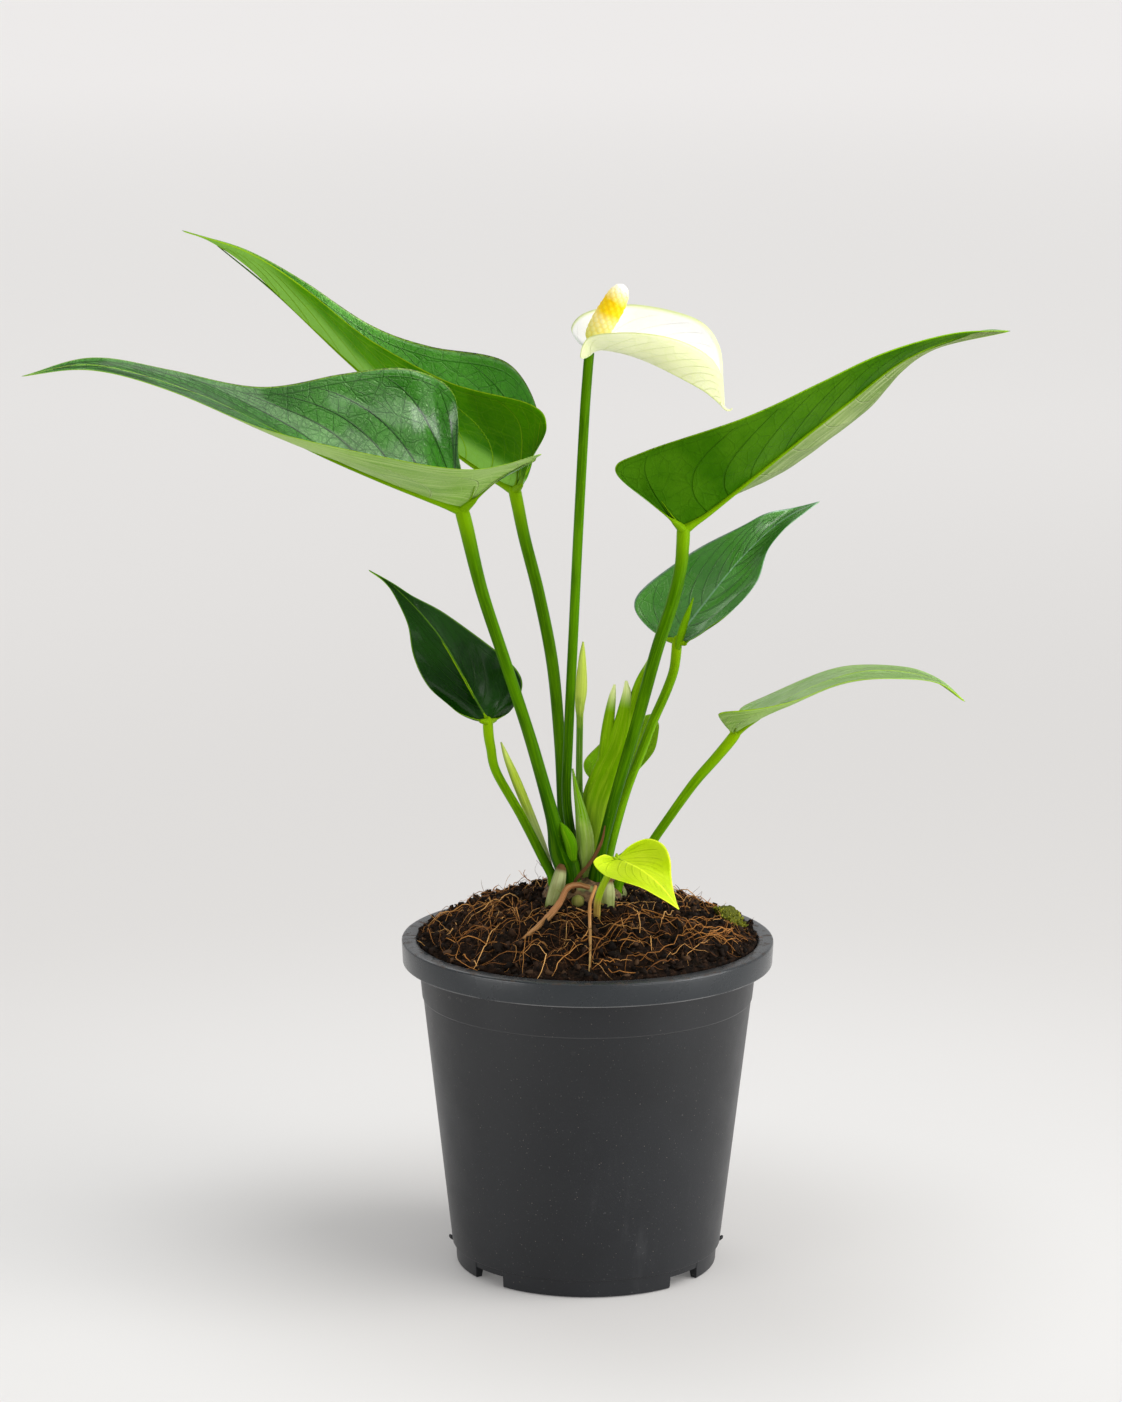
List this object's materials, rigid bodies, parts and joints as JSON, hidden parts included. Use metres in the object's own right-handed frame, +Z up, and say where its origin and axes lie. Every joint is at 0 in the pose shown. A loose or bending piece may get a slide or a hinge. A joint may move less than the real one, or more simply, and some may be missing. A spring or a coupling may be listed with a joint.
{
  "type": "potted anthurium plant",
  "caption": "Potted flowering houseplant: heart-shaped leaves and a white hooded flower on slim stalks rise from a mound of soil in a round tapered nursery pot.",
  "frame": {"origin": "centre of the pot's foot, on the plane that it stands on", "axes": "+Z up; the pictured front faces -Y; +X is to the right in the picture"},
  "size_m": [0.335, 0.135, 0.3568],
  "materials": {
    "pot": "satin charcoal plastic",
    "soil": "dark moist peat with fibres",
    "crown": "matte woody stem base",
    "leaf": "glossy leaf",
    "young_leaf": "satin young leaf",
    "spathe": "satin white bract",
    "spadix": "matte, beaded",
    "stalk": "satin green stem",
    "pale_shoot": "satin pale green",
    "root": "matte brown root",
    "moss": "soft moss"
  },
  "bodies": {
    "root": {"pot": "pot", "soil": "soil", "crown": "crown", "leaf_front_left": "leaf", "leaf_back_left": "leaf", "leaf_right": "leaf", "leaf_mid_right": "leaf", "leaf_mid_left": "leaf", "leaf_low_right": "leaf", "leaf_small_back": "leaf", "leaf_new_front": "young_leaf", "spathe": "spathe", "spadix": "spadix", "flower_stalk": "stalk", "flower_bud": "pale_shoot", "new_shoot": "pale_shoot", "cataphyll_left": "pale_shoot", "cataphyll_front": "pale_shoot", "root_stub_left": "root", "root_stub_front": "root", "root_bud": "root", "aerial_root_thick": "root", "aerial_root_thin": "root", "dried_sheath": "root", "moss": "moss"}
  },
  "joints": []
}
